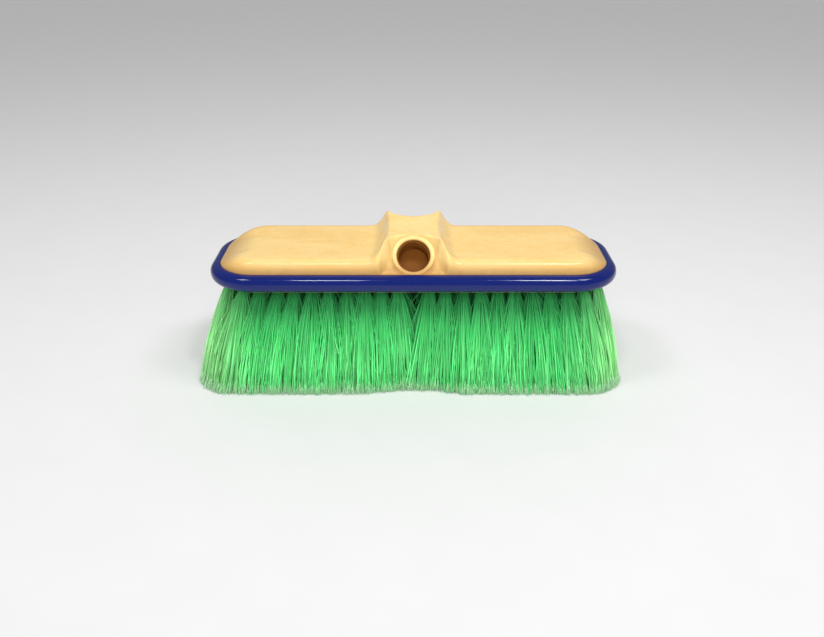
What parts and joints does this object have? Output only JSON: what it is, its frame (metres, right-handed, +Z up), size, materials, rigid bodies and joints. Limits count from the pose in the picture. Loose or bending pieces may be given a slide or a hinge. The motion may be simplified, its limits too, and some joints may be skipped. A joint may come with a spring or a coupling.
{
  "type": "car wash brush",
  "caption": "Foam-block vehicle wash brush with a soft bumper round its edge, flared bristle tufts and two slanted threaded handle sockets.",
  "frame": {"origin": "centre of the flat-cut bristle tips, on the surface that the brush stands on", "axes": "+X along the brush's length, +Z up out of the block's top; the socket seen in the picture looks towards -Y"},
  "size_m": [0.2754, 0.102, 0.0951],
  "materials": {
    "foam": "structural foam plastic, satin skin with faint swirls",
    "vinyl": "glossy flexible vinyl",
    "bristle": "translucent filament with flagged tips",
    "staple": "plain flat wire"
  },
  "bodies": {
    "root": {"foam_block": "foam", "vinyl_bumper": "vinyl", "bristle_column_01": "bristle", "bristle_column_02": "bristle", "bristle_column_03": "bristle", "bristle_column_04": "bristle", "bristle_column_05": "bristle", "bristle_column_06": "bristle", "bristle_column_07": "bristle", "bristle_column_08": "bristle", "bristle_column_09": "bristle", "bristle_column_10": "bristle", "bristle_column_11": "bristle", "bristle_column_12": "bristle", "bristle_column_13": "bristle", "bristle_column_14": "bristle", "bristle_column_15": "bristle", "bristle_column_16": "bristle", "bristle_column_17": "bristle", "bristle_column_18": "bristle", "bristle_column_19": "bristle", "bristle_column_20": "bristle", "bristle_column_21": "bristle", "bristle_column_22": "bristle", "staple_wire_01": "staple", "staple_wire_02": "staple", "staple_wire_03": "staple", "staple_wire_04": "staple", "staple_wire_05": "staple", "staple_wire_06": "staple", "staple_wire_07": "staple", "staple_wire_08": "staple", "staple_wire_09": "staple", "staple_wire_10": "staple", "staple_wire_11": "staple", "staple_wire_12": "staple", "staple_wire_13": "staple", "staple_wire_14": "staple", "staple_wire_15": "staple", "staple_wire_16": "staple", "staple_wire_17": "staple", "staple_wire_18": "staple", "staple_wire_19": "staple", "staple_wire_20": "staple", "staple_wire_21": "staple", "staple_wire_22": "staple"}
  },
  "joints": []
}
